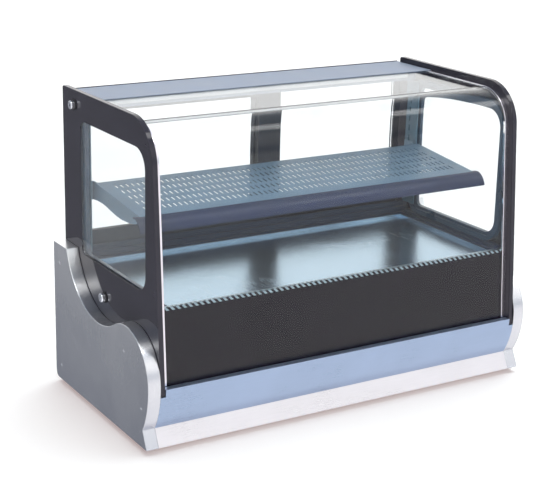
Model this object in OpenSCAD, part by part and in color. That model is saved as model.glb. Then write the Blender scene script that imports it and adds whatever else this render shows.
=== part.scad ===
// Countertop refrigerated bakery display case with curved front glass.
// Frame: X to the right, +Y to the rear, +Z up. The origin is on the resting plane,
// under the middle of the case. The front faces -Y.
// Outlines are drawn as [depth, height]: depth runs forward from the rear plane of the
// side panels, height runs up from the underside of the side panels.

/* [Case] */
// Overall width over the two side panels
case_w = 900; // [860:10:1100]
// Depth from the rear plane to the foremost point of the bullnose
body_d = 437; // [433:1:441]
// Height of the rubber feet
foot_h = 12; // [8:1:20]
// How far the head beam reaches behind the rear plane
beam_overhang = 12; // [8:1:12]

/* [Side panels] */
// Width of a side panel, measured across its flange
panel_w = 26; // [24:1:30]
// Height of a side panel at the rear
panel_h = 297; // [294:1:300]
// Radius of the hollow sweep
hollow_r = 153; // [150:1:156]
// Radius of the bulge that follows the hollow
bulge_r = 97; // [95:1:99]
// Height of the foremost point of the bulge
bulge_z = 124; // [121:1:126]
// Slope of the line that joins the centres of hollow and bulge, in degrees
blend_angle = 59.5; // [58:0.5:61]
// Radius of the flatter curve under the bulge
tuck_r = 170; // [160:5:180]
// Height of the waist between front panel and kick plate
waist_z = 35; // [30:1:38]
// Depth at which the kick plate reaches the bottom
foot_d = 429; // [426:1:434]
// Gauge of the folded side panels
skin_t = 1.5; // [1.2:0.1:2]

/* [Glazing] */
// Height of the top edge of the side panes
pane_top = 620; // [610:1:630]
// How far the side panes stand proud of the curved glass
pane_proud = 14; // [11:1:16]
// Thickness of the side panes
pane_t = 10; // [8:1:10]
// Outer bend radius of the curved glass
bend_r = 75; // [65:1:85]
// Backward lean of the front glass, in degrees
glass_lean = 4; // [3:0.5:4.5]
// Thickness of the curved glass
glass_t = 6; // [5:1:6]
// Rear, bottom, front and top limits of the window in a side pane
window_rear = 84; // [80:1:90]
window_bottom = 289; // [287:1:294]
window_front = 373; // [365:1:376]
window_top = 563; // [550:1:566]

/* [Shelf] */
// Depth of the rear edge of the shelf
shelf_rear = 105; // [100:1:110]
// Height of the rear edge of the shelf
shelf_z = 438; // [434:1:442]
// Size of the shelf plate from rear to front
shelf_size = 199; // [190:1:205]
// Forward tilt of the shelf in degrees
shelf_tilt = 5.8; // [4:0.2:7]
// Half of the shelf plate's width
shelf_half = 396; // [394:1:396]

/* [Doors] */
// Where the doors meet, to the right of the middle
meeting_x = 36; // [0:1:60]
// Width of the meeting stiles
stile_w = 56; // [40:1:60]
// Thickness of a door
door_t = 14; // [12:1:15]
// Height of the bottom rail of a door
rail_h = 54; // [40:1:60]

/* [Hidden] */

$fn = 48;
rear_y = (body_d - beam_overhang) / 2;

// Side panels: centres of the three arcs of the sweep
bulge_c = [body_d - bulge_r, bulge_z];
hollow_c = bulge_c + (bulge_r + hollow_r) * [-cos(blend_angle), sin(blend_angle)];
tuck_c = [body_d - tuck_r, bulge_z];
heel_r = 14;
panel_in = case_w / 2 - panel_w;
screw_spots = [[31, 258], [29, 32], [334, 168], [408, 78]];

// Glazing, from outside to inside: pane, trim and inner frame, cabin
pane_out = panel_in - 0.5;
pane_in = pane_out - pane_t;
trim_w = 10.5;
cabin_half = pane_in - 11.5;
roof_z = pane_top - pane_proud;
glass_d = body_d - 16;
ledge_z = 100;
bend_c = [glass_d - bend_r / cos(glass_lean) - (roof_z - bend_r - ledge_z) * tan(glass_lean),
          roof_z - bend_r];
pane_foot = 106;
bolt_spots = [[58, roof_z - 16], [192, 228]];
frame_lap = 16;

// Base: front edge of the pan, lip of the front panel, tub and deck
base_front = 405;
lip_z = 119;
tub_top = 256;
tub_bottom = 168;
tub_wall = 18;
tub_front = 400;
tub_half = pane_in - 2.5;
comb_d = 388;
comb_z = 266;
deck_half = 385;
deck_gap = 0.5;

// Door tracks: depth of the middle of each door
outer_track = 18;
inner_track = 40;
groove_w = door_t + 4;
track_z = 268;
beam_bottom = roof_z - 34;
beam_front = 62;
door_top = roof_z - 16;
door_half = cabin_half - 4;

// Shelf supports
blade_x = shelf_half - 4.5;
pillar_d = [50, 92];
pillar_t = 2.5;

// Rear equipment
rear_screw_x = [-400, -130, 130, 400];
rear_screw_z = [24, 236];
control_c = [-25, 125];
button_x = [-55, -46, -4, 5];
rocker_x = [-88, 84];
rocker_pin = [3, 125];
gland_c = [60, 60];
condenser_x = [120, 360];
compressor_c = [-190, 210];
condenser_fan_c = [240, 86];
fan_r = 56;
evap_fan_c = [270, 200];

// Frames the outlines: depth 0 is the rear plane, height 0 the underside of the panels
module body_frame() translate([0, rear_y, foot_h]) children();

// Extrudes an outline of [depth, height] from x0 to x1
module along_x(x0, x1)
    translate([x0, 0, 0]) rotate([90, 0, 90]) linear_extrude(x1 - x0) mirror([1, 0]) children();

// A block from low to high corner, both as [x, depth, height]
module block(low, high)
    translate([low.x, -high.y, low.z]) cube([high.x - low.x, high.y - low.y, high.z - low.z]);

// A rod along X from x0 to x1, at [depth, height]
module rod_x(spot, r, x0, x1)
    translate([x0, -spot.x, spot.y]) rotate([0, 90, 0]) cylinder(r = r, h = x1 - x0);

// A rod along the depth from d0 to d1, at [x, height]
module rod_y(spot, r, d0, d1)
    translate([spot.x, -d0, spot.y]) rotate([90, 0, 0]) cylinder(r = r, h = d1 - d0);

// A rod upwards from z0 to z1, at [x, depth]
module rod_z(spot, r, z0, z1)
    translate([spot.x, -spot.y, z0]) cylinder(r = r, h = z1 - z0);

module both_sides() {
    children();
    mirror([1, 0, 0]) children();
}

function arc(c, r, a0, a1, n) =
    [for (i = [0:n]) c + r * [cos(a0 + (a1 - a0) * i / n), sin(a0 + (a1 - a0) * i / n)]];

// Outline of a side panel, moved inwards by t
function side_points(t) = concat(
    arc(hollow_c, hollow_r + t, 180 + asin((hollow_c.y - panel_h + t) / (hollow_r + t)),
        360 - blend_angle, 44),
    arc(bulge_c, bulge_r - t, 180 - blend_angle, 0, 44),
    arc(tuck_c, tuck_r - t, -1, -asin((bulge_z - waist_z) / (tuck_r - t)), 14),
    [[foot_d - 1.15 * t, t]],
    arc([heel_r, heel_r], heel_r - t, 270, 180, 8),
    [[t, panel_h - t]]);

// A rectangle from low to high corner with four corner radii: low left, then anticlockwise
module rounded_window(low, high, radii) {
    polygon([[low.x + radii[0], low.y], [high.x - radii[1], low.y],
             [high.x, low.y + radii[1]], [high.x, high.y - radii[2]],
             [high.x - radii[2], high.y], [low.x + radii[3], high.y],
             [low.x, high.y - radii[3]], [low.x, low.y + radii[0]]]);
    translate([low.x + radii[0], low.y + radii[0]]) circle(radii[0]);
    translate([high.x - radii[1], low.y + radii[1]]) circle(radii[1]);
    translate([high.x - radii[2], high.y - radii[2]]) circle(radii[2]);
    translate([low.x + radii[3], high.y - radii[3]]) circle(radii[3]);
}

// The window in a side pane, grown outwards on every side
module window_outline(grow)
    rounded_window([window_rear - grow, window_bottom - grow],
                   [window_front + grow, window_top + grow],
                   [16 + grow, 34 + grow, 40 + grow, 16 + grow]);

// Depth of the front glass's outer face at a height, grown outwards
function front_x(h, grow) =
    bend_c.x + (bend_r + grow) / cos(glass_lean) - (h - bend_c.y) * tan(glass_lean);

// The solid outline under the curved glass, grown outwards
module glass_hull(grow, rear, bottom) {
    polygon([[rear, bottom], [front_x(bottom, grow), bottom],
             bend_c + (bend_r + grow) * [cos(glass_lean), sin(glass_lean)], bend_c,
             bend_c + [0, bend_r + grow], [rear, bend_c.y + bend_r + grow]]);
    translate(bend_c) circle(bend_r + grow, $fn = 96);
}

module pane_outline() {
    difference() {
        glass_hull(pane_proud, 0, pane_foot);
        translate([-1, pane_top - 6]) square([7, 7]);
    }
    translate([6, pane_top - 6]) circle(6);
}

// A curved strip that follows the glass, t_out outside and t_in inside its outer face
module glass_strip(t_out, t_in, rear, bottom)
    difference() {
        glass_hull(t_out, rear, bottom);
        glass_hull(-t_in, rear - 1, bottom - 1);
    }

// ---- Base ----------------------------------------------------------------------------

module base_pan() color("silver") body_frame() {
    difference() {
        block([-panel_in, 2, 0], [panel_in, base_front, 2]);
        for (x = [-330, -60, 60, 330])
            rod_z([x, 205], 16, -1, 3);
    }
    both_sides() block([panel_in - 2, 2, 2], [panel_in, base_front, pane_foot]);
    block([-panel_in + 2, base_front - 2, 2], [panel_in - 2, base_front, 20]);
    both_sides() for (d = [24, 376])
        block([391, d, 2], [411, d + 20, tub_bottom]);
    for (x = [-384, -282])
        block([x, 2, 2], [x + 6, 138, 11.7]);
}

module rubber_feet() color("dimgray") body_frame()
    both_sides() for (d = [45, 370])
        translate([395, -d, -foot_h])
            rotate_extrude() polygon([[4, 0], [15, 0], [17, 2], [19, foot_h], [4, foot_h]]);

module side_panel() {
    difference() {
        along_x(-case_w / 2, -panel_in) polygon(side_points(0));
        along_x(-case_w / 2 + skin_t, -panel_in + 1) polygon(side_points(skin_t));
        for (s = screw_spots) rod_x(s, 2, -case_w / 2 - 1, -panel_in);
        for (s = screw_spots) rod_x(s, 4.2, -case_w / 2 - 1, -case_w / 2 + 1.1);
    }
    for (s = screw_spots)
        difference() {
            rod_x(s, 7, -case_w / 2 + skin_t - 0.3, -panel_in);
            rod_x(s, 2, -case_w / 2, -panel_in - 4);
        }
}

module side_panel_left() color("lightsteelblue") body_frame() side_panel();

module side_panel_right() color("lightsteelblue") body_frame() mirror([1, 0, 0]) side_panel();

// A pan-head screw along the local Z axis, its cross recess at z = 0, its shank upwards
module cross_screw(shank)
    difference() {
        union() {
            cylinder(r = 4, h = 1);
            cylinder(r = 1.9, h = shank);
        }
        for (a = [0, 90]) rotate([0, 0, a]) translate([-2.4, -0.45, -1]) cube([4.8, 0.9, 1.6]);
    }

module panel_screws() color("gainsboro") body_frame() {
    both_sides() for (s = screw_spots)
        translate([-case_w / 2 + 0.1, -s.x, s.y]) rotate([0, 90, 0]) cross_screw(18);
    for (x = rear_screw_x, z = rear_screw_z)
        translate([x, 1, z]) rotate([90, 0, 0]) cross_screw(6);
}

// Strip of the side outline between two heights, as folded sheet
module front_strip(z0, z1, t)
    intersection() {
        difference() {
            polygon(side_points(0));
            polygon(side_points(t));
        }
        translate([base_front, z0]) square([body_d, z1 - z0]);
    }

module front_panel() color("lightsteelblue") body_frame()
    difference() {
        along_x(-panel_in, panel_in) {
            front_strip(waist_z, lip_z, 2);
            translate([glass_d + 1, lip_z - 2]) square([body_d - glass_d - 2, 2]);
            translate([glass_d + 1, ledge_z - 2]) square([2, lip_z - ledge_z + 2]);
            translate([glass_d - glass_t - 4, ledge_z - 2]) square([glass_t + 5, 2]);
        }
        both_sides() block([pane_in - 0.5, tub_front, pane_foot - 2], [case_w, body_d + 1, lip_z + 1]);
    }

module kick_plate() color("whitesmoke") body_frame()
    along_x(-panel_in, panel_in) front_strip(0, waist_z, 2);

// ---- Rear of the base ----------------------------------------------------------------

// Rows of pressed louvres: slots with a hood over each
module louvre_slots(x0, x1, z0, rows)
    for (i = [0:rows - 1]) block([x0, -1, z0 + 14 * i], [x1, 3, z0 + 14 * i + 6]);

module louvre_hoods(x0, x1, z0, rows)
    for (i = [0:rows - 1]) translate([0, 0, z0 + 14 * i])
        along_x(x0 - 2, x1 + 2)
            polygon([[0, 9], [0, 7], [-4.6, 1.2], [-5.6, 1.8], [-1.2, 9]]);

module rear_panel() color("lightgray") body_frame() {
    difference() {
        union() {
            block([-panel_in, 0, 4], [panel_in, 1.5, pane_foot]);
            block([-pane_in, 0, pane_foot - 1], [pane_in, 1.5, tub_top]);
        }
        louvre_slots(130, 250, 40, 8);
        louvre_slots(262, 372, 40, 8);
        louvre_slots(-372, -250, 68, 6);
        block([-390, -1, 10], [-270, 3, 46]);
        block([control_c.x - 38, -1, control_c.y - 18], [control_c.x + 38, 3, control_c.y + 18]);
        for (x = rocker_x)
            block([x - 9, -1, control_c.y - 13], [x + 9, 3, control_c.y + 13]);
        rod_y(gland_c, 8.2, -1, 3);
        for (x = rear_screw_x, z = rear_screw_z) rod_y([x, z], 2, -1, 3);
    }
    louvre_hoods(130, 250, 40, 8);
    louvre_hoods(262, 372, 40, 8);
    louvre_hoods(-372, -250, 68, 6);
}

module control_plate() color("dimgray") body_frame()
    difference() {
        block([-104, -1.5, 102], [102, 0, 150]);
        block([control_c.x - 36, -2, control_c.y - 16], [control_c.x + 36, 1, control_c.y + 16]);
        for (x = rocker_x)
            block([x - 8, -2, control_c.y - 12], [x + 8, 1, control_c.y + 12]);
    }

module thermostat() color("dimgray") body_frame()
    difference() {
        union() {
            block([control_c.x - 39, -6, control_c.y - 18], [control_c.x + 39, -1.5, control_c.y + 18]);
            block([control_c.x - 35.5, -1.5, control_c.y - 15], [control_c.x + 35.5, 56, control_c.y + 15]);
        }
        block([control_c.x - 15, -7, control_c.y - 8], [control_c.x + 15, -4, control_c.y + 11]);
        for (x = button_x)
            block([x - 3.4, -7, control_c.y - 3.4], [x + 3.4, 0, control_c.y + 3.4]);
    }

module thermostat_window() color("darkred") body_frame()
    block([control_c.x - 15, -5.5, control_c.y - 8], [control_c.x + 15, -4, control_c.y + 11]);

// A push button of the thermostat, with a guide collar behind the face
module push_button(x) color("lightgray") body_frame()
    block([x - 3, -7, control_c.y - 3], [x + 3, -1.6, control_c.y + 3]);

module button_set() push_button(button_x[0]);

module button_up() push_button(button_x[1]);

module button_down() push_button(button_x[2]);

module button_defrost() push_button(button_x[3]);

// Two snap-in housings, each with the pin that its rocker turns on
module switch_housings() color("black") body_frame()
    for (x = rocker_x) {
        difference() {
            union() {
                block([x - 10.5, -3.2, control_c.y - 15], [x + 10.5, -1.5, control_c.y + 15]);
                block([x - 8, -1.5, control_c.y - 12], [x + 8, 24, control_c.y + 12]);
            }
            block([x - 7, -4, control_c.y - 10.6], [x + 7, 20, control_c.y + 10.6]);
        }
        rod_x(rocker_pin, 1.45, x - 7, x + 7);
    }

// A rocker that turns about the pin of its housing, pressed in at its lower end
module rocker(x, tone) color(tone) body_frame()
    difference() {
        along_x(x - 6.6, x + 6.6) translate(rocker_pin) rotate(8)
            polygon([[-9, 9.2], [-6.4, 0], [-9, -9.2], [-3, -9], [3, -3.5], [3, 3.5], [-3, 9]]);
        rod_x(rocker_pin, 1.5, x - 8, x + 8);
    }

module power_rocker() rocker(rocker_x[0], "green");

module light_rocker() rocker(rocker_x[1], "dimgray");

module cable_gland() color("dimgray") body_frame()
    difference() {
        union() {
            rod_y(gland_c, 12, -4, 0);
            translate([gland_c.x, 10.5, gland_c.y]) rotate([90, 0, 0]) cylinder(r = 9.5, h = 6.5, $fn = 6);
            rod_y(gland_c, 8, 0, 12);
            translate([gland_c.x, -1.5, gland_c.y]) rotate([90, 0, 0]) cylinder(r = 12, h = 5, $fn = 6);
        }
        rod_y(gland_c, 4.2, -12, 20);
    }

// ---- Refrigeration -------------------------------------------------------------------

// Reach of the compressor's tube stubs from its axis
stub = 72;

module compressor() color("black") body_frame() {
    translate([compressor_c.x, -compressor_c.y, 14]) rotate_extrude($fn = 72)
        polygon(concat([[0, 0], [56, 0]], arc([46, 24], 20, -45, 0, 6), [[67.5, 62], [67.5, 68]],
                       arc([26, 98], 40, 0, 90, 10), [[0, 138]]));
    difference() {
        block([compressor_c.x - 92, compressor_c.y - 60, 11],
              [compressor_c.x + 92, compressor_c.y + 60, 14]);
        for (sx = [-1, 1], sy = [-1, 1])
            rod_z([compressor_c.x + 82 * sx, compressor_c.y + 48 * sy], 5.2, 10, 15);
    }
    block([compressor_c.x + 67, compressor_c.y - 22, 40],
          [compressor_c.x + 92, compressor_c.y + 22, 96]);
    rod_x([compressor_c.y, 130], 4.5, compressor_c.x + 50, compressor_c.x + stub);
    rod_y([compressor_c.x, 90], 4.5, compressor_c.y + 50, compressor_c.y + stub);
}

module compressor_mounts() color("dimgray") body_frame()
    for (sx = [-1, 1], sy = [-1, 1])
        translate([compressor_c.x + 82 * sx, -compressor_c.y - 48 * sy, 2])
            rotate_extrude()
                polygon([[0, 0], [9, 0], [8, 3], [9, 9], [5, 9], [5, 12.2], [7, 12.2], [7, 14], [0, 14]]);

condenser_d = [18, 62];
condenser_z = [20, 152];
fin_count = 25;

module condenser() color("silver") body_frame() {
    for (i = [0:fin_count - 1])
        block([condenser_x[0] + 6 + 9.4 * i, condenser_d[0], condenser_z[0]],
              [condenser_x[0] + 7 + 9.4 * i, condenser_d[1], condenser_z[1]]);
    for (i = [0:5], d = [29, 51])
        rod_x([d, 34 + 21 * i], 4, condenser_x[0] + 4, condenser_x[1] - 4);
    for (x = [condenser_x[0], condenser_x[1] - 4])
        block([x, condenser_d[0] - 2, 2], [x + 4, condenser_d[1] + 2, condenser_z[1] + 4]);
}

// Blades around a hub that turns about the local Z axis; the bore opens at the top
module rotor(r, hub_r, hub_h, blades, pitch) {
    difference() {
        cylinder(r = hub_r, h = hub_h);
        translate([0, 0, hub_h * 0.3]) cylinder(r = bore_r, h = hub_h);
    }
    intersection() {
        for (i = [0:blades - 1])
            rotate([0, 0, 360 / blades * i]) translate([hub_r - 1.5, 0, hub_h / 2])
                rotate([pitch, 0, 0]) translate([0, -r * 0.3, -0.7]) cube([r, r * 0.6, 1.4]);
        difference() {
            translate([0, 0, hub_h / 2 - r * 0.2]) cylinder(r = r, h = r * 0.4);
            translate([0, 0, -r]) cylinder(r = hub_r - 0.8, h = 3 * r);
        }
    }
}

bore_r = 3;
shaft_r = 2.95;
fan_front = 92;

module condenser_fan() color("dimgray") body_frame()
    translate([condenser_fan_c.x, -fan_front, condenser_fan_c.y]) rotate([90, 0, 0])
        rotor(fan_r, 17, 14, 5, 32);

module condenser_fan_motor() color("gray") body_frame() {
    difference() {
        block([condenser_fan_c.x - 66, 66, 20], [condenser_fan_c.x + 66, 68, 152]);
        rod_y(condenser_fan_c, fan_r + 4, 60, 80);
    }
    difference() {
        rod_y(condenser_fan_c, fan_r + 6, 68, 118);
        rod_y(condenser_fan_c, fan_r + 4, 60, 120);
    }
    block([condenser_fan_c.x - fan_r - 5, 114.5, condenser_fan_c.y - 4],
          [condenser_fan_c.x + fan_r + 5, 118, condenser_fan_c.y + 4]);
    rod_y(condenser_fan_c, shaft_r, 97, 114);
    rod_y(condenser_fan_c, 24, 114, 152);
    block([condenser_fan_c.x - 12, 116, 2], [condenser_fan_c.x + 12, 150, 64]);
    for (x = [condenser_fan_c.x - 66, condenser_fan_c.x + 60])
        block([x, 66, 2], [x + 6, 90, 20]);
}

// Copper lines: radius of the bends, height of the liquid line, ends of the drier
bend_line = 12;
liquid_z = 34;
drier_d = [75, 165];

module filter_drier() color("peru") body_frame()
    translate([60, -drier_d[0], liquid_z]) rotate([90, 0, 0]) rotate_extrude()
        polygon([[0, 0], [4, 0], [4, 8], [11, 18], [11, 72], [4, 82], [4, 90], [0, 90]]);

// A quarter bend of tube around the local Z axis, from +X to +Y
module quarter_bend()
    rotate_extrude(angle = 90) translate([bend_line, 0]) circle(3);

module refrigerant_pipes() color("peru") body_frame() {
    // Discharge line from the compressor shell to the condenser
    rod_x([compressor_c.y, 130], 3, compressor_c.x + stub, 94);
    translate([94, bend_line - compressor_c.y, 130]) rotate([0, 0, -90]) quarter_bend();
    rod_y([94 + bend_line, 130], 3, 51 + bend_line, compressor_c.y - bend_line);
    translate([94 + 2 * bend_line, -51 - bend_line, 130]) rotate([0, 0, 90]) quarter_bend();
    rod_x([51, 130], 3, 94 + 2 * bend_line, condenser_x[0]);
    // Liquid line from the condenser through the drier up to the tub
    rod_x([51, liquid_z], 3, 60 + bend_line, condenser_x[0]);
    translate([60 + bend_line, -51 - bend_line, liquid_z]) rotate([0, 0, 90]) quarter_bend();
    rod_y([60, liquid_z], 3, 51 + bend_line, drier_d[0]);
    rod_y([60, liquid_z], 3, drier_d[1], 240);
    translate([60, -240, liquid_z + bend_line]) rotate([90, 0, 90]) rotate([0, 0, 180]) quarter_bend();
    rod_z([60, 240 + bend_line], 3, liquid_z + bend_line, tub_bottom);
    // Suction line from the tub down to the compressor shell
    rod_z([compressor_c.x, 300], 3, 90 + bend_line, tub_bottom);
    translate([compressor_c.x, bend_line - 300, 90 + bend_line])
        rotate([90, 0, 90]) rotate([0, 0, 180]) quarter_bend();
    rod_y([compressor_c.x, 90], 3, compressor_c.y + stub, 300 - bend_line);
}

module drain_pipe() color("white") body_frame()
    difference() {
        rod_z([-330, 120], 9, 50, tub_bottom);
        rod_z([-330, 120], 6.5, 49, tub_bottom + 1);
    }

module condensate_tray() color("dimgray") body_frame()
    difference() {
        union() {
            block([-388, -0.3, 12], [-272, 140, 44]);
            block([-394, -2.5, 8], [-266, -0.3, 48]);
        }
        block([-385.5, 2.2, 14.5], [-274.5, 137.5, 45]);
        block([-350, -3, 30], [-310, 3, 42]);
    }

// ---- Cooled well ---------------------------------------------------------------------

module insulated_tub() color("white") body_frame()
    difference() {
        block([-tub_half, 8, tub_bottom], [tub_half, tub_front, tub_top]);
        block([-tub_half + tub_wall, 8 + tub_wall, tub_bottom + 22],
              [tub_half - tub_wall, tub_front - tub_wall, tub_top + 1]);
        rod_z([-330, 120], 6.5, tub_bottom - 1, tub_bottom + 30);
    }

evap_x = [-240, 160];
evap_d = [90, 260];

module evaporator() color("silver") body_frame() {
    for (i = [0:32])
        block([evap_x[0] + 8 + 11.9 * i, evap_d[0], 194],
              [evap_x[0] + 9 + 11.9 * i, evap_d[1], 238]);
    for (i = [0:4], z = [204, 228])
        rod_x([106 + 34 * i, z], 4, evap_x[0] + 3, evap_x[1] - 3);
    for (x = [evap_x[0], evap_x[1] - 3])
        block([x, evap_d[0] - 2, 190], [x + 3, evap_d[1] + 2, 242]);
}

module evaporator_fan() color("dimgray") body_frame()
    translate([evap_fan_c.x, -evap_fan_c.y, 219]) rotate([180, 0, 0]) rotor(40, 15, 12, 7, 30);

module evaporator_fan_motor() color("dimgray") body_frame() {
    difference() {
        block([evap_fan_c.x - 46, evap_fan_c.y - 46, 190],
              [evap_fan_c.x + 46, evap_fan_c.y + 46, 226]);
        rod_z(evap_fan_c, 43, 198, 227);
        rod_z(evap_fan_c, 38, 189, 199);
        block([evap_fan_c.x - 50, evap_fan_c.y - 30, 189],
              [evap_fan_c.x + 50, evap_fan_c.y + 30, 193]);
    }
    rod_z(evap_fan_c, 14, 193, 205);
    rod_z(evap_fan_c, shaft_r, 205, 214);
    for (a = [45:90:315])
        translate([evap_fan_c.x, -evap_fan_c.y, 194]) rotate([0, 0, a])
            translate([13, -2.5, 0]) cube([27, 5, 4]);
}

module deck_tray() color("gainsboro") body_frame()
    difference() {
        block([-deck_half + deck_gap, 64.5, tub_top],
              [deck_half - deck_gap, comb_d - deck_gap, tub_top + 8]);
        block([-deck_half + 2, 66, tub_top + 1.5], [deck_half - 2, comb_d - 2, tub_top + 9]);
    }

comb_pitch = 10;
comb_front = front_x(comb_z, -glass_t) - 2.3;

module vent_comb() color("gainsboro") body_frame()
    difference() {
        along_x(-pane_in + deck_gap, pane_in - deck_gap)
            polygon([[comb_d, tub_top], [comb_d + 2, tub_top], [comb_d + 2, comb_z - 2],
                     [comb_front, comb_z - 2], [comb_front, comb_z], [comb_d, comb_z]]);
        for (i = [-39:39])
            translate([i * comb_pitch, 0, 0])
                block([-2.7, comb_d + 2.5, comb_z - 5], [2.7, comb_front + 1, comb_z + 1]);
    }

// Stepped sills between the deck and the side glazing
module side_sills() color("silver") body_frame()
    both_sides() translate([0, -64, 0]) rotate([90, 0, 0])
        linear_extrude(comb_d - 64)
            polygon([[deck_half, tub_top], [pane_in, tub_top], [pane_in, window_bottom - frame_lap],
                     [cabin_half - 3, window_bottom - frame_lap], [cabin_half - 3, comb_z + 2],
                     [deck_half + 6, comb_z + 2], [deck_half + 6, tub_top + 8], [deck_half, tub_top + 8]]);

// Lower door track: two grooves with a stepped front
module rear_sill() color("slategray") body_frame()
    along_x(-pane_in, pane_in)
        polygon([[0, tub_top], [63.5, tub_top], [63.5, track_z], [57, track_z], [57, track_z + 12],
                 [52, track_z + 12], [52, track_z + 24], [inner_track + groove_w / 2, track_z + 24],
                 [inner_track + groove_w / 2, track_z], [inner_track - groove_w / 2, track_z],
                 [inner_track - groove_w / 2, track_z + 12], [outer_track + groove_w / 2, track_z + 12],
                 [outer_track + groove_w / 2, track_z], [outer_track - groove_w / 2, track_z],
                 [outer_track - groove_w / 2, track_z + 12], [4, track_z + 12], [4, track_z], [0, track_z]]);

// ---- Head, lamp and pillars ----------------------------------------------------------

module head_beam() color("lightsteelblue") body_frame()
    along_x(-pane_in, pane_in)
        polygon([[-beam_overhang, roof_z + 2], [118, roof_z + 2], [118, roof_z],
                 [beam_front, roof_z], [beam_front, beam_bottom],
                 [inner_track + groove_w / 2, beam_bottom], [inner_track + groove_w / 2, roof_z - 12],
                 [inner_track - groove_w / 2, roof_z - 12], [inner_track - groove_w / 2, beam_bottom],
                 [outer_track + groove_w / 2, beam_bottom], [outer_track + groove_w / 2, roof_z - 12],
                 [outer_track - groove_w / 2, roof_z - 12], [outer_track - groove_w / 2, beam_bottom],
                 [-beam_overhang, beam_bottom]]);

module led_lamp() color("white") body_frame()
    along_x(-380, 380) {
        translate([beam_front, roof_z - 26]) square([6, 18]);
        intersection() {
            translate([beam_front + 6, roof_z - 17]) circle(9);
            translate([beam_front + 6, roof_z - 30]) square([10, 26]);
        }
    }

slot_pitch = 24;

module pillar() difference() {
    block([-cabin_half, pillar_d[0], track_z + 24], [-cabin_half + pillar_t, pillar_d[1], beam_bottom]);
    for (i = [0:9])
        block([-cabin_half - 1, 62, 315.5 + slot_pitch * i],
              [-cabin_half + pillar_t + 1, 66, 330 + slot_pitch * i]);
}

module pillar_left() color("cadetblue") body_frame() pillar();

module pillar_right() color("cadetblue") body_frame() mirror([1, 0, 0]) pillar();

// ---- Glazing -------------------------------------------------------------------------

module side_frame() difference() {
    along_x(-pane_out, -pane_in) pane_outline();
    along_x(-pane_out - 1, -pane_in + 1) window_outline(0);
    for (s = bolt_spots) rod_x(s, 4.5, -pane_out - 1, -pane_in + 1);
}

module side_frame_left() color([0.16, 0.15, 0.17]) body_frame() side_frame();

module side_frame_right() color([0.16, 0.15, 0.17]) body_frame() mirror([1, 0, 0]) side_frame();

module side_glass() along_x(-pane_out + 1, -pane_in - 1) window_outline(0);

module side_glass_left() color([0.8, 0.9, 0.95, 0.3]) body_frame() side_glass();

module side_glass_right() color([0.8, 0.9, 0.95, 0.3]) body_frame() mirror([1, 0, 0]) side_glass();

// Stepped spacer frame of the double glazing, on the inside of the pane, with a broad rear leg
module inner_frame() difference() {
    along_x(-pane_in, -cabin_half)
        intersection() {
            window_outline(frame_lap);
            glass_hull(-glass_t - 1.5, 0, 0);
        }
    along_x(-pane_in - 1, -cabin_half + 1)
        rounded_window([window_rear + 12, window_bottom + 2], [window_front - 2, window_top - 2],
                       [14, 32, 38, 14]);
    along_x(-cabin_half - 4, -cabin_half + 1) window_outline(5);
}

module inner_frame_left() color("slategray") body_frame() inner_frame();

module inner_frame_right() color("slategray") body_frame() mirror([1, 0, 0]) inner_frame();

module front_glass() color([0.85, 0.93, 0.96, 0.3]) body_frame()
    along_x(-pane_in + trim_w, pane_in - trim_w) glass_strip(0, glass_t, beam_front, ledge_z);

band_face = glass_t + 0.05;

module front_glass_band() color([0.16, 0.15, 0.17]) body_frame()
    along_x(-pane_in + trim_w, pane_in - trim_w)
        polygon([[front_x(ledge_z, -band_face) - 2, ledge_z], [front_x(ledge_z, -band_face), ledge_z],
                 [front_x(comb_z + 2, -band_face), comb_z + 2],
                 [front_x(comb_z + 2, -band_face) - 2, comb_z + 2]]);

module glass_trims() color("silver") body_frame()
    both_sides() along_x(pane_in - trim_w, pane_in) glass_strip(1, glass_t + 1, 118.5, lip_z + 0.5);

module glass_bolts() color("silver") body_frame()
    both_sides() for (s = bolt_spots) {
        rod_x(s, 4, -pane_out - 2, -pane_in);
        translate([-pane_out - 2, -s.x, s.y]) rotate([0, -90, 0])
            difference() {
                rotate_extrude()
                    polygon([[0, 0], [9, 0], [9, 6.5], [8.6, 7.8], [7.8, 8.6], [6.6, 9], [0, 9]]);
                translate([0, 0, 5]) cylinder(r = 4, h = 5, $fn = 6);
            }
    }

module bolt_washers() color("black") body_frame()
    both_sides() for (s = bolt_spots)
        difference() {
            rod_x(s, 11, -pane_out - 2, -pane_out);
            rod_x(s, 4.5, -pane_out - 3, -pane_out + 1);
        }

// ---- Sliding doors -------------------------------------------------------------------

end_stile = 16;
top_rail = 26;

// The opening of a door frame from x0 to x1, whose meeting stile is at x1 or at x0
function door_hole(x0, x1, meets_right) =
    [x0 + (meets_right ? end_stile : stile_w), x1 - (meets_right ? stile_w : end_stile)];

module door_frame(x0, x1, track, meets_right) {
    hole = door_hole(x0, x1, meets_right);
    pull_x = meets_right ? [x0 + 2.5, x0 + end_stile - 2.5] : [x0 + 14, x0 + stile_w - 14];
    difference() {
        block([x0, track - door_t / 2, track_z + 0.6], [x1, track + door_t / 2, door_top]);
        block([hole[0], track - door_t, track_z + rail_h], [hole[1], track + door_t, door_top - top_rail]);
        block([pull_x[0], track - door_t / 2 - 1, 400], [pull_x[1], track + door_t / 2 - 5, 500]);
    }
}

module door_pane(x0, x1, track, meets_right) {
    hole = door_hole(x0, x1, meets_right);
    block([hole[0], track - 2, track_z + rail_h], [hole[1], track + 2, door_top - top_rail]);
}

left_door = [-door_half, meeting_x + stile_w / 2];
right_door = [meeting_x - stile_w / 2, door_half];

module door_left() color([0.2, 0.2, 0.23]) body_frame()
    door_frame(left_door[0], left_door[1], inner_track, true);

module door_left_glass() color([0.85, 0.93, 0.96, 0.3]) body_frame()
    door_pane(left_door[0], left_door[1], inner_track, true);

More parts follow.
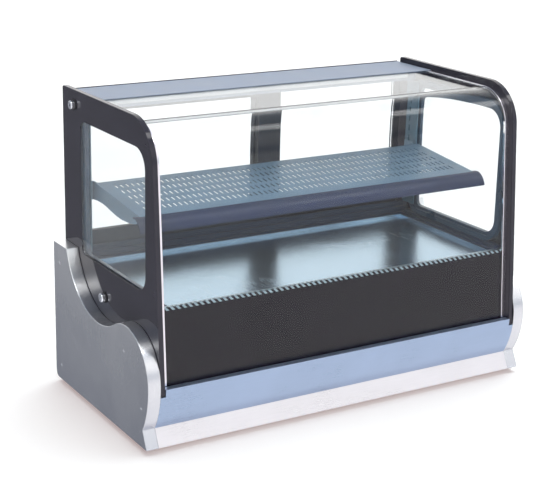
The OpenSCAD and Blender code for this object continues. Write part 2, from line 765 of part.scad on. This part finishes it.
module door_right() color([0.2, 0.2, 0.23]) body_frame()
    door_frame(right_door[0], right_door[1], outer_track, false);

module door_right_glass() color([0.85, 0.93, 0.96, 0.3]) body_frame()
    door_pane(right_door[0], right_door[1], outer_track, false);

// ---- Shelf ---------------------------------------------------------------------------

sheet_t = 1.5;
slot_rows = 5;
slot_step = 12;
slots_per_row = 62;

// The shelf's own frame: depth from its rear edge along the plate, height from its top face
module shelf_frame()
    body_frame() translate([0, -shelf_rear, shelf_z]) rotate([shelf_tilt, 0, 0]) children();

module shelf() color("cadetblue") shelf_frame() {
    difference() {
        block([-shelf_half, 0, -sheet_t], [shelf_half, shelf_size, 0]);
        for (r = [0:slot_rows - 1], i = [0:slots_per_row - 1])
            translate([(i - (slots_per_row - 1) / 2) * slot_step, 0, 0])
                block([-2.1, 21 + 32 * r, -3], [2.1, 41 + 32 * r, 1]);
    }
    both_sides() block([shelf_half - sheet_t, 0, -10], [shelf_half, shelf_size - 8, -sheet_t]);
    block([-blade_x + 4, 0, -10], [blade_x - 4, sheet_t, -sheet_t]);
}

nose_r = 31;

// Curved front rail that carries the price tags
module shelf_rail() color("darkslategray") shelf_frame()
    along_x(-shelf_half - 12, shelf_half + 12) {
        translate([shelf_size - 7, -sheet_t - 1.6]) square([7, 1.6]);
        translate([shelf_size, -nose_r])
            difference() {
                circle(nose_r, $fn = 96);
                circle(nose_r - 2, $fn = 96);
                translate([-nose_r - 1, -nose_r - 1]) square([nose_r + 1, 2 * nose_r + 2]);
                translate([-1, -nose_r - 1]) square([nose_r + 2, nose_r + 9]);
            }
    }

// Height at a depth where a bracket ends, just under the shelf's underside
function under_shelf(d) =
    shelf_z - sheet_t / cos(shelf_tilt) - (d - shelf_rear) * tan(shelf_tilt) - 0.3;

module shelf_bracket() {
    difference() {
        along_x(-blade_x, -blade_x + 2.5)
            polygon([[81, under_shelf(shelf_rear)], [shelf_rear, under_shelf(shelf_rear)],
                     [292, under_shelf(292)], [292, 401], [270, 394], [245, 390.5], [215, 389],
                     [190, 390.5], [165, 394], [145, 398], [125, 400], [100, 400], [81, 398]]);
        rod_x([152, 413], 3, -blade_x - 1, -blade_x + 4);
    }
    // Joggle between the blade and the hook plate
    block([-cabin_half + pillar_t, 79, 398], [-blade_x + 2.5, 81, under_shelf(shelf_rear)]);
    block([-cabin_half + pillar_t, 50, 389], [-cabin_half + pillar_t + 2, 79, 437]);
    for (i = [3, 4])
        block([-cabin_half + 0.3, 62.5, 318 + slot_pitch * i],
              [-cabin_half + pillar_t, 65.5, 328 + slot_pitch * i]);
}

module shelf_bracket_left() color("cadetblue") body_frame() shelf_bracket();

module shelf_bracket_right() color("cadetblue") body_frame() mirror([1, 0, 0]) shelf_bracket();

base_pan();
rubber_feet();
side_panel_left();
side_panel_right();
panel_screws();
front_panel();
kick_plate();
rear_panel();
control_plate();
thermostat();
thermostat_window();
button_set();
button_up();
button_down();
button_defrost();
switch_housings();
power_rocker();
light_rocker();
cable_gland();
compressor();
compressor_mounts();
condenser();
condenser_fan_motor();
condenser_fan();
filter_drier();
refrigerant_pipes();
insulated_tub();
evaporator();
evaporator_fan_motor();
evaporator_fan();
drain_pipe();
condensate_tray();
deck_tray();
vent_comb();
side_sills();
rear_sill();
head_beam();
led_lamp();
pillar_left();
pillar_right();
side_frame_left();
side_frame_right();
side_glass_left();
side_glass_right();
inner_frame_left();
inner_frame_right();
front_glass();
front_glass_band();
glass_trims();
glass_bolts();
bolt_washers();
door_left();
door_left_glass();
door_right();
door_right_glass();
shelf();
shelf_rail();
shelf_bracket_left();
shelf_bracket_right();
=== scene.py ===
"""Looks of the countertop bakery display case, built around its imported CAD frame."""

import math

import bpy
from mathutils import Matrix, Vector

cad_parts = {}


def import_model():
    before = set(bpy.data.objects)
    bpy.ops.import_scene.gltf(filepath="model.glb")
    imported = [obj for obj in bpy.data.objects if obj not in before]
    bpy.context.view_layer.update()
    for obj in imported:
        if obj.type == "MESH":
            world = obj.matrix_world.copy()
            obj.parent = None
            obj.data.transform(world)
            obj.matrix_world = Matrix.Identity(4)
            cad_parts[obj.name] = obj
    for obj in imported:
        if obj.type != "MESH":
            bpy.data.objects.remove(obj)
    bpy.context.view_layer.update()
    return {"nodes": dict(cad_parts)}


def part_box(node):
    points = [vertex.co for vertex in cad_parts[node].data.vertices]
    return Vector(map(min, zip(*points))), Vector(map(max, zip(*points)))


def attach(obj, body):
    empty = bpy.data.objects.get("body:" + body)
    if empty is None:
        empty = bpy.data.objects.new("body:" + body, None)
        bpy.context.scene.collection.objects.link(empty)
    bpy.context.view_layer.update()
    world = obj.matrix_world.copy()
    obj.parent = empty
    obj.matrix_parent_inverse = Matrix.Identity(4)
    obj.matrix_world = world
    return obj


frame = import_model()
nodes = frame["nodes"]


# ---- Node helpers ----------------------------------------------------------------------

class Shader:
    """One material and the few node patterns that the materials here share."""

    def __init__(self, name, colour, metallic=0.0, roughness=0.5, **plain):
        self.material = bpy.data.materials.new(name)
        self.material.use_nodes = True
        self.tree = self.material.node_tree
        self.main = self.tree.nodes["Principled BSDF"]
        self.out = self.tree.nodes["Material Output"]
        self.main.inputs["Base Color"].default_value = (*colour, 1)
        self.main.inputs["Metallic"].default_value = metallic
        self.main.inputs["Roughness"].default_value = roughness
        for socket, value in plain.items():
            self.main.inputs[socket.replace("_", " ")].default_value = value
        coords = self.node("ShaderNodeTexCoord")
        self.where = coords.outputs["Object"]
        self.height = None

    def node(self, kind, **settings):
        made = self.tree.nodes.new(kind)
        for key, value in settings.items():
            setattr(made, key, value)
        return made

    def link(self, a, b):
        self.tree.links.new(a, b)

    def stretched(self, stretch):
        mapping = self.node("ShaderNodeMapping")
        mapping.inputs["Scale"].default_value = stretch
        self.link(self.where, mapping.inputs["Vector"])
        return mapping.outputs["Vector"]

    def noise(self, scale, detail=4.0, stretch=(1, 1, 1), distortion=0.0, rough=0.5):
        made = self.node("ShaderNodeTexNoise")
        made.inputs["Scale"].default_value = scale
        made.inputs["Detail"].default_value = detail
        made.inputs["Roughness"].default_value = rough
        made.inputs["Distortion"].default_value = distortion
        self.link(self.stretched(stretch), made.inputs["Vector"])
        return made.outputs["Fac"]

    def voronoi(self, scale):
        made = self.node("ShaderNodeTexVoronoi")
        made.inputs["Scale"].default_value = scale
        self.link(self.where, made.inputs["Vector"])
        return made.outputs["Distance"]

    def span(self, value, low, high, to_low=0.0, to_high=1.0):
        """Maps a value from low..high to to_low..to_high, held at its ends."""
        made = self.node("ShaderNodeMapRange")
        for socket, number in (("From Min", low), ("From Max", high),
                               ("To Min", to_low), ("To Max", to_high)):
            made.inputs[socket].default_value = number
        self.link(value, made.inputs["Value"])
        return made.outputs["Result"]

    def math(self, operation, a, b):
        made = self.node("ShaderNodeMath", operation=operation)
        for socket, value in zip(made.inputs, (a, b)):
            if isinstance(value, (int, float)):
                socket.default_value = value
            else:
                self.link(value, socket)
        return made.outputs["Value"]

    def mixed(self, factor, a, b):
        made = self.node("ShaderNodeMix", data_type="RGBA")
        self.link(factor, made.inputs["Factor"])
        for socket, value in ((made.inputs["A"], a), (made.inputs["B"], b)):
            if isinstance(value, tuple):
                socket.default_value = (*value, 1)
            else:
                self.link(value, socket)
        return made.outputs["Result"]

    def axis(self, name):
        made = self.node("ShaderNodeSeparateXYZ")
        self.link(self.where, made.inputs["Vector"])
        return made.outputs[name]

    def colour(self, socket):
        self.link(socket, self.main.inputs["Base Color"])

    def roughness(self, socket):
        self.link(socket, self.main.inputs["Roughness"])

    def rounded(self, radius):
        """Shades the edges as if they were rounded off, below any bump."""
        made = self.node("ShaderNodeBevel", samples=6)
        made.inputs["Radius"].default_value = radius
        self.height = made.outputs["Normal"]

    def bump(self, value, distance):
        """Adds one layer of bump on top of those before it."""
        made = self.node("ShaderNodeBump")
        made.inputs["Distance"].default_value = distance
        self.link(value, made.inputs["Height"])
        if self.height is not None:
            self.link(self.height, made.inputs["Normal"])
        self.height = made.outputs["Normal"]
        self.link(self.height, self.main.inputs["Normal"])


def srgb(text):
    """A colour given as #rrggbb, turned into Blender's linear values."""
    parts = [int(text[i:i + 2], 16) / 255 for i in (1, 3, 5)]
    return tuple(c / 12.92 if c <= 0.04045 else ((c + 0.055) / 1.055) ** 2.4 for c in parts)


def shade(colour, factor):
    return tuple(min(1.0, c * factor) for c in colour)


# ---- Materials -------------------------------------------------------------------------

def brushed_metal(name, colour, roughness, grain=(1, 60, 60), depth=0.00002, metallic=1.0):
    """Sheet metal with fine brush lines, faint smudges and a slightly mottled tone."""
    s = Shader(name, colour, metallic=metallic, roughness=roughness)
    lines = s.noise(26, 6, grain, rough=0.65)
    smudge = s.noise(7, 3, (1, 1, 1.4), distortion=0.6)
    tone = s.math("ADD", s.span(lines, 0.3, 0.7, -0.5, 0.5), s.span(smudge, 0.35, 0.65, -0.5, 0.5))
    s.colour(s.mixed(s.span(tone, -1, 1), shade(colour, 0.93), shade(colour, 1.07)))
    s.roughness(s.span(tone, -1, 1, roughness * 0.82, roughness * 1.2))
    s.rounded(0.001)
    s.bump(lines, depth)
    return s.material


def painted_reflection_metal(name, colour, roughness, height):
    """Brushed sheet with a painted reflection: its tone falls from light at the top to dark at the
    foot, as the room's reflection would.
    """
    s = Shader(name, colour, metallic=1.0, roughness=roughness)
    lines = s.noise(26, 6, (60, 60, 1), rough=0.65)
    smudge = s.noise(5, 3, distortion=0.6)
    tone = s.math("ADD", s.span(lines, 0.3, 0.7, -0.3, 0.3), s.span(smudge, 0.35, 0.65, -0.3, 0.3))
    # Painted reflection: the tone rises with height, so the panel is lighter at the top and darker
    # at the foot.
    tone = s.math("ADD", tone, s.span(s.axis("Z"), 0, height, -1, 1))
    s.colour(s.mixed(s.span(tone, -1.3, 1.3), shade(colour, 0.72), shade(colour, 1.35)))
    s.roughness(s.span(tone, -1.3, 1.3, roughness * 0.9, roughness * 1.1))
    s.rounded(0.0026)
    s.bump(lines, 0.000005)
    return s.material


def painted_metal(name, colour, roughness, coat=0.0):
    """Powder coat: a soft orange peel with a little dust in the tone."""
    s = Shader(name, colour, roughness=roughness, Coat_Weight=coat, Coat_Roughness=0.12)
    peel = s.noise(420, 2)
    dust = s.noise(14, 5, distortion=0.4)
    s.colour(s.mixed(s.span(dust, 0.3, 0.7), shade(colour, 0.92), shade(colour, 1.08)))
    s.roughness(s.span(dust, 0.3, 0.7, roughness * 0.85, min(1, roughness * 1.15)))
    s.bump(peel, 0.0000002)
    return s.material


def moulded_plastic(name, colour, roughness, grain=900, depth=0.00008):
    """Moulded plastic with a fine spark-eroded grain."""
    s = Shader(name, colour, roughness=roughness)
    speck = s.voronoi(grain)
    cloud = s.noise(18, 4)
    s.colour(s.mixed(s.span(cloud, 0.3, 0.7), shade(colour, 0.9), shade(colour, 1.1)))
    s.roughness(s.span(cloud, 0.3, 0.7, roughness * 0.85, min(1, roughness * 1.15)))
    s.bump(speck, depth)
    return s.material


def rubber(name, colour):
    s = Shader(name, colour, roughness=0.75)
    speck = s.noise(700, 3)
    scuff = s.noise(30, 6, distortion=0.8)
    s.colour(s.mixed(s.span(scuff, 0.45, 0.75), colour, shade(colour, 1.9)))
    s.roughness(s.span(scuff, 0.3, 0.7, 0.65, 0.88))
    s.bump(speck, 0.00012)
    return s.material


def black_glass(name, colour, specular=0.5, teeth=None):
    """Glass with a black print behind it: a deep tone with a faint dust film on top.

    The teeth are light slanted strokes along the top edge. They are only colour: they stand
    for the front edge of the air grille, which the band hides from the camera."""
    s = Shader(name, colour, roughness=0.05, IOR=1.4)
    s.main.inputs["Specular IOR Level"].default_value = specular
    film = s.noise(5, 5, (1, 1, 1.6), distortion=1.2)
    tone = s.mixed(s.span(film, 0.35, 0.75), colour, shade(colour, 1.25))
    if teeth:
        foot = teeth["top"] - teeth["height"]
        along = s.math("DIVIDE", s.math("ADD", s.axis("X"), s.axis("Z")), teeth["pitch"])
        stroke = s.span(s.math("PINGPONG", along, 0.5), 0.24, 0.28)
        edge = s.span(s.axis("Z"), foot, foot + teeth["blur"])
        tone = s.mixed(s.math("MULTIPLY", stroke, edge), tone, teeth["colour"])
    s.colour(tone)
    s.roughness(s.span(film, 0.35, 0.75, 0.04, 0.1))
    return s.material


def clear_glass(name, tint, shadow_tint):
    """Thin clear glass with faint wipe marks. Rays from lamps pass straight through it."""
    s = Shader(name, tint, roughness=0.0, IOR=1.3, Transmission_Weight=1.0)
    wipe = s.noise(4, 5, (1, 1, 2.2), distortion=1.5)
    s.colour(s.mixed(s.span(wipe, 0.35, 0.7), tint, shade(tint, 0.985)))
    clear = s.node("ShaderNodeBsdfTransparent")
    clear.inputs["Color"].default_value = (*shadow_tint, 1)
    path = s.node("ShaderNodeLightPath")
    either = s.node("ShaderNodeMixShader")
    s.link(path.outputs["Is Shadow Ray"], either.inputs["Fac"])
    s.link(s.main.outputs["BSDF"], either.inputs[1])
    s.link(clear.outputs["BSDF"], either.inputs[2])
    s.link(either.outputs["Shader"], s.out.inputs["Surface"])
    return s.material


BAND_TEETH = {
    "top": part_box("front_glass_band")[1][2],
    "height": 0.006,
    "pitch": 0.0125,
    "blur": 0.0004,
    "colour": srgb("#a3b6c2"),
}

looks = {
    "case": painted_reflection_metal("case_metal", srgb("#dfe3ee"), 0.27, 0.3),
    "front": brushed_metal("front_metal", srgb("#a3b5d0"), 0.3, (1, 60, 60), 0.000002, 0.9),
    "head": painted_metal("head_paint", srgb("#8b97aa"), 0.5),
    "kick": brushed_metal("kick_metal", srgb("#e6e4e8"), 0.3, (1, 60, 60), 0.000003, 0.85),
    "steel": brushed_metal("plain_steel", srgb("#c6cbce"), 0.28, (1, 60, 60)),
    "comb": brushed_metal("comb_steel", srgb("#c4d4de"), 0.30, (60, 1, 60)),
    "sill": painted_metal("sill_paint", srgb("#1d2d48"), 0.45),
    "deck": brushed_metal("deck_steel", srgb("#b5cbdb"), 0.24, (60, 1, 60)),
    "trim": brushed_metal("trim_metal", srgb("#f1edf3"), 0.22, (60, 60, 1)),
    "spacer": painted_metal("spacer_paint", srgb("#2f4a62"), 0.3),
    "fins": brushed_metal("fin_metal", srgb("#cfd3d6"), 0.35, (60, 1, 60)),
    "bright": brushed_metal("bright_metal", srgb("#e2e4e8"), 0.08, (20, 20, 20), 0.000002),
    "shelf": painted_metal("shelf_paint", srgb("#67839a"), 0.42),
    "pillar": painted_metal("pillar_paint", srgb("#54788c"), 0.4),
    "dark": painted_metal("dark_paint", srgb("#1b1f2c"), 0.35),
    "rail": painted_metal("rail_paint", srgb("#16264a"), 0.42),
    "enamel": painted_metal("compressor_enamel", srgb("#1b1b1e"), 0.22, 0.6),
    "black_glass": black_glass("black_glass", srgb("#130b17"), 0.02, BAND_TEETH),
    "side_print": black_glass("side_print", srgb("#302e37")),
    "clear_glass": clear_glass("clear_glass", srgb("#fafcfc"), srgb("#f2f8f8")),
    "black_plastic": moulded_plastic("black_plastic", srgb("#2a2b2e"), 0.55),
    "grey_plastic": moulded_plastic("grey_plastic", srgb("#a8abb0"), 0.45),
    "green_plastic": moulded_plastic("green_plastic", srgb("#1f8a4c"), 0.25, 300, 0.00002),
    "white_plastic": moulded_plastic("white_plastic", srgb("#eceff1"), 0.4),
    "tub_plastic": moulded_plastic("tub_plastic", srgb("#1a1b1f"), 0.5),
    "window": moulded_plastic("smoked_window", srgb("#2b0f12"), 0.08, 200, 0.000005),
    "rubber": rubber("black_rubber", srgb("#232325")),
    "copper": brushed_metal("copper_tube", srgb("#c27b52"), 0.25, (20, 20, 20)),
}

LOOK_OF = {
    "case": ["side_panel_left", "side_panel_right"],
    "head": ["head_beam"],
    "front": ["front_panel"],
    "kick": ["kick_plate"],
    "steel": ["base_pan", "rear_panel"],
    "comb": ["vent_comb"],
    "sill": ["side_sills", "rear_sill"],
    "deck": ["deck_tray"],
    "trim": ["glass_trims"],
    "spacer": ["inner_frame_left", "inner_frame_right"],
    "fins": ["condenser", "evaporator"],
    "bright": ["glass_bolts", "panel_screws"],
    "shelf": ["shelf", "shelf_bracket_left", "shelf_bracket_right"],
    "pillar": ["pillar_left", "pillar_right"],
    "dark": ["door_left", "door_right"],
    "rail": ["shelf_rail"],
    "enamel": ["compressor"],
    "black_glass": ["front_glass_band"],
    "side_print": ["side_frame_left", "side_frame_right"],
    "clear_glass": ["front_glass", "side_glass_left", "side_glass_right", "door_left_glass",
                    "door_right_glass"],
    "black_plastic": ["control_plate", "thermostat", "switch_housings", "light_rocker",
                      "cable_gland", "condensate_tray", "condenser_fan", "condenser_fan_motor",
                      "evaporator_fan", "evaporator_fan_motor"],
    "grey_plastic": ["button_set", "button_up", "button_down", "button_defrost"],
    "green_plastic": ["power_rocker"],
    "white_plastic": ["led_lamp", "drain_pipe"],
    "tub_plastic": ["insulated_tub"],
    "window": ["thermostat_window"],
    "rubber": ["rubber_feet", "bolt_washers", "compressor_mounts"],
    "copper": ["filter_drier", "refrigerant_pipes"],
}

for look, names in LOOK_OF.items():
    for name in names:
        nodes[name].data.materials.clear()
        nodes[name].data.materials.append(looks[look])


# ---- Softened edges --------------------------------------------------------------------

WELD_DISTANCE = 0.00001
SHARP_ANGLE = math.radians(32)


def soften(name, width):
    """Rounds a CAD node's edges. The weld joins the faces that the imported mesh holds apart."""
    o = nodes[name]
    weld = o.modifiers.new("weld", "WELD")
    weld.merge_threshold = WELD_DISTANCE
    bevel = o.modifiers.new("bevel", "BEVEL")
    bevel.width = width
    bevel.segments = 2
    bevel.limit_method = "ANGLE"
    bevel.angle_limit = SHARP_ANGLE
    for p in o.data.polygons:
        p.use_smooth = True
    normals = o.modifiers.new("normals", "WEIGHTED_NORMAL")
    normals.weight = 80


SOFT_EDGES = {
    0.0009: ["side_panel_left", "side_panel_right", "head_beam"],
    0.0012: ["side_frame_left", "side_frame_right"],
    0.0006: ["door_left", "door_right", "glass_trims", "side_sills", "rear_sill", "led_lamp",
             "thermostat", "condensate_tray"],
    0.0004: ["shelf_rail", "switch_housings", "power_rocker", "light_rocker"],
}

for width, names in SOFT_EDGES.items():
    for name in names:
        soften(name, width)


# ---- Added pieces ----------------------------------------------------------------------

def swept(name, outline, x0, x1, look):
    """A strip of the case along X with an outline of (y, z) points, and softened edges."""
    mesh = bpy.data.meshes.new(name)
    n = len(outline)
    points = [(x, y, z) for x in (x0, x1) for y, z in outline]
    faces = [tuple(range(n)), tuple(range(2 * n - 1, n - 1, -1))]
    faces += [(i, i + n, (i + 1) % n + n, (i + 1) % n) for i in range(n)]
    mesh.from_pydata(points, [], faces)
    mesh.update()
    o = bpy.data.objects.new(name, mesh)
    bpy.context.scene.collection.objects.link(o)
    o.data.materials.append(looks[look])
    edge = o.modifiers.new("edge", "BEVEL")
    edge.width = 0.0004
    edge.segments = 2
    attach(o, "case")


def head_seal():
    """The dark seal that closes the rear top edge of the head beam."""
    low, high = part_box("head_beam")
    y, z = high[1], high[2]
    foot, crown, thick, inset = 0.0035, 0.003, 0.0012, 0.001
    outline = [(y - foot, z), (y, z), (y, z + thick), (y - crown, z + thick)]
    swept("head_seal", outline, low[0] + inset, high[0] - inset, "rubber")


head_seal()


# ---- Stage, light and camera -----------------------------------------------------------

FLOOR_SIZE = 60
FLOOR_GLOW = (0.25, 0.13, 0.09)


def floor():
    """Pale paper: white where the light is full, and warm in the shade."""
    bpy.ops.mesh.primitive_plane_add(size=FLOOR_SIZE)
    o = bpy.context.object
    o.name = "floor"
    s = Shader("floor_paper", (0.80, 0.92, 0.95), roughness=0.8)
    grain = s.noise(3, 4)
    s.colour(s.mixed(grain, (0.81, 0.93, 0.96), (0.79, 0.91, 0.94)))
    s.main.inputs["Specular IOR Level"].default_value = 0.1
    s.main.inputs["Emission Color"].default_value = (*FLOOR_GLOW, 1)
    s.main.inputs["Emission Strength"].default_value = 1.0
    o.data.materials.append(s.material)
    o.visible_glossy = False


class Sky:
    """The world's nodes: smooth steps of the direction that a ray looks in, and their products."""

    def __init__(self, tree):
        self.tree = tree
        coords = tree.nodes.new("ShaderNodeTexCoord")
        split = tree.nodes.new("ShaderNodeSeparateXYZ")
        tree.links.new(coords.outputs["Generated"], split.inputs["Vector"])
        self.axes = split.outputs
        self.ray = coords.outputs["Generated"]

    def smooth(self, value, low, high):
        """Rises from 0 to 1 as the value goes from low to high, which may lie the other way."""
        made = self.tree.nodes.new("ShaderNodeMapRange")
        made.interpolation_type = "SMOOTHSTEP"
        made.inputs["From Min"].default_value = low
        made.inputs["From Max"].default_value = high
        self.tree.links.new(value, made.inputs["Value"])
        return made.outputs["Result"]

    def step(self, axis, low, high):
        return self.smooth(self.axes[axis], low, high)

    def lobe(self, toward, edge, full):
        """1 within a cone round a direction, 0 outside it; edge and full are cosines."""
        dot = self.tree.nodes.new("ShaderNodeVectorMath")
        dot.operation = "DOT_PRODUCT"
        dot.inputs[1].default_value = toward
        self.tree.links.new(self.ray, dot.inputs[0])
        return self.smooth(dot.outputs["Value"], edge, full)

    def math(self, operation, *values):
        made = self.tree.nodes.new("ShaderNodeMath")
        made.operation = operation
        for socket, value in zip(made.inputs, values):
            if isinstance(value, (int, float)):
                socket.default_value = value
            else:
                self.tree.links.new(value, socket)
        return made.outputs["Value"]

    def times(self, a, b):
        return self.math("MULTIPLY", a, b)

    def blend(self, factor, a, b):
        made = self.tree.nodes.new("ShaderNodeMix")
        made.data_type = "RGBA"
        self.tree.links.new(factor, made.inputs["Factor"])
        for socket, value in ((made.inputs["A"], a), (made.inputs["B"], b)):
            if isinstance(value, tuple):
                socket.default_value = (*value, 1)
            else:
                self.tree.links.new(value, socket)
        return made.outputs["Result"]


NEAR_FLOOR = (1.08, 1.06, 1.08)
FAR_FLOOR = (0.28, 0.29, 0.32)
FRONT_WALL_FOOT = (0.58, 0.62, 0.70)
FRONT_WALL_TOP = (1.2, 1.19, 1.19)
REAR_WALL = (1.35, 1.35, 1.35)
REAR_LEFT_FLAG = (0.45, 0.47, 0.52)
CEILING = (0.42, 0.47, 0.56)
STRIP_LIGHT = (5, 5, 5)
DIM_FILL = (0.46, 0.47, 0.5)
TOP_FILL = (4.6, 4.57, 4.52)
TOP_FILL_TOWARD = (0.26, 0.1, 0.96)


def studio_light(sky):
    """What reflections see, by the direction that they look in."""
    below = sky.blend(sky.step("Y", -0.1, 0.5), NEAR_FLOOR, FAR_FLOOR)
    front = sky.blend(sky.step("Z", 0.08, 0.35), FRONT_WALL_FOOT, FRONT_WALL_TOP)
    wall = sky.blend(sky.step("Y", 0.0, 0.4), front, REAR_WALL)
    flag = sky.times(sky.step("X", -0.1, -0.5), sky.step("Y", -0.2, 0.2))
    wall = sky.blend(flag, wall, REAR_LEFT_FLAG)
    level = sky.blend(sky.step("Z", -0.08, 0.08), below, wall)
    ceiling = sky.blend(sky.step("Z", 0.58, 0.8), level, CEILING)
    across = sky.times(sky.step("Y", -0.42, -0.34), sky.step("Y", -0.10, -0.18))
    return sky.blend(sky.times(across, sky.step("Z", 0.55, 0.65)), ceiling, STRIP_LIGHT)


def world():
    """White behind the object. Reflections see a studio: a bright wall low behind the object,
    a dimmer ceiling, a bright floor in front and a dark flag at the rear left."""
    w = bpy.data.worlds.new("studio")
    bpy.context.scene.world = w
    w.use_nodes = True
    w.cycles.sampling_method = "NONE"
    tree = w.node_tree
    back = tree.nodes["Background"]
    back.inputs["Color"].default_value = (1, 1, 1, 1)
    back.inputs["Strength"].default_value = 1.1
    sky = Sky(tree)
    room = tree.nodes.new("ShaderNodeBackground")
    tree.links.new(studio_light(sky), room.inputs["Color"])
    fill = tree.nodes.new("ShaderNodeBackground")
    over = sky.lobe(TOP_FILL_TOWARD, 0.86, 0.96)
    tree.links.new(sky.blend(over, DIM_FILL, TOP_FILL), fill.inputs["Color"])
    path = tree.nodes.new("ShaderNodeLightPath")
    shown = back.outputs["Background"]
    for bounces, light in (("Glossy Depth", room), ("Diffuse Depth", fill)):
        either = tree.nodes.new("ShaderNodeMixShader")
        bounced = sky.math("GREATER_THAN", path.outputs[bounces], 0.5)
        tree.links.new(bounced, either.inputs["Fac"])
        tree.links.new(shown, either.inputs[1])
        tree.links.new(light.outputs["Background"], either.inputs[2])
        shown = either.outputs["Shader"]
    tree.links.new(shown, tree.nodes["World Output"].inputs["Surface"])


def softbox(name, at, target, size, watts):
    data = bpy.data.lights.new(name, "AREA")
    data.shape = "RECTANGLE"
    data.size, data.size_y = size
    data.energy = watts
    o = bpy.data.objects.new(name, data)
    bpy.context.scene.collection.objects.link(o)
    o.location = at
    o.rotation_euler = (Vector(target) - Vector(at)).to_track_quat("-Z", "Y").to_euler()
    o.visible_glossy = False


CAMERA_AT = (-1.522, -2.3995, 1.163)
CAMERA_YAW, CAMERA_PITCH, CAMERA_ROLL = (math.radians(a) for a in (31.22, 16.22, 1.18))
CAMERA_LENS = 95.5
CAMERA_SHIFT = (0.001, -0.0507)


def camera():
    """The photo's viewpoint: yaw turns it from +Y toward +X, and pitch tips it down."""
    ahead = Vector((math.sin(CAMERA_YAW), math.cos(CAMERA_YAW), 0))
    level = Vector((math.cos(CAMERA_YAW), -math.sin(CAMERA_YAW), 0))
    forward = math.cos(CAMERA_PITCH) * ahead - math.sin(CAMERA_PITCH) * Vector((0, 0, 1))
    upward = level.cross(forward)
    right = math.cos(CAMERA_ROLL) * level + math.sin(CAMERA_ROLL) * upward
    up = -math.sin(CAMERA_ROLL) * level + math.cos(CAMERA_ROLL) * upward
    data = bpy.data.cameras.new("camera")
    data.sensor_width = 36
    data.lens = CAMERA_LENS
    data.shift_x, data.shift_y = CAMERA_SHIFT
    data.clip_end = 100
    o = bpy.data.objects.new("camera", data)
    bpy.context.scene.collection.objects.link(o)
    turn = Matrix((right, up, -forward)).transposed().to_4x4()
    o.matrix_world = Matrix.Translation(CAMERA_AT) @ turn
    bpy.context.scene.camera = o


floor()
world()
softbox("front", (-0.8, -3.2, 2.2), (0, 0, 0.3), (2.4, 1.4), 30)
camera()
bpy.context.scene.view_settings.view_transform = "Standard"
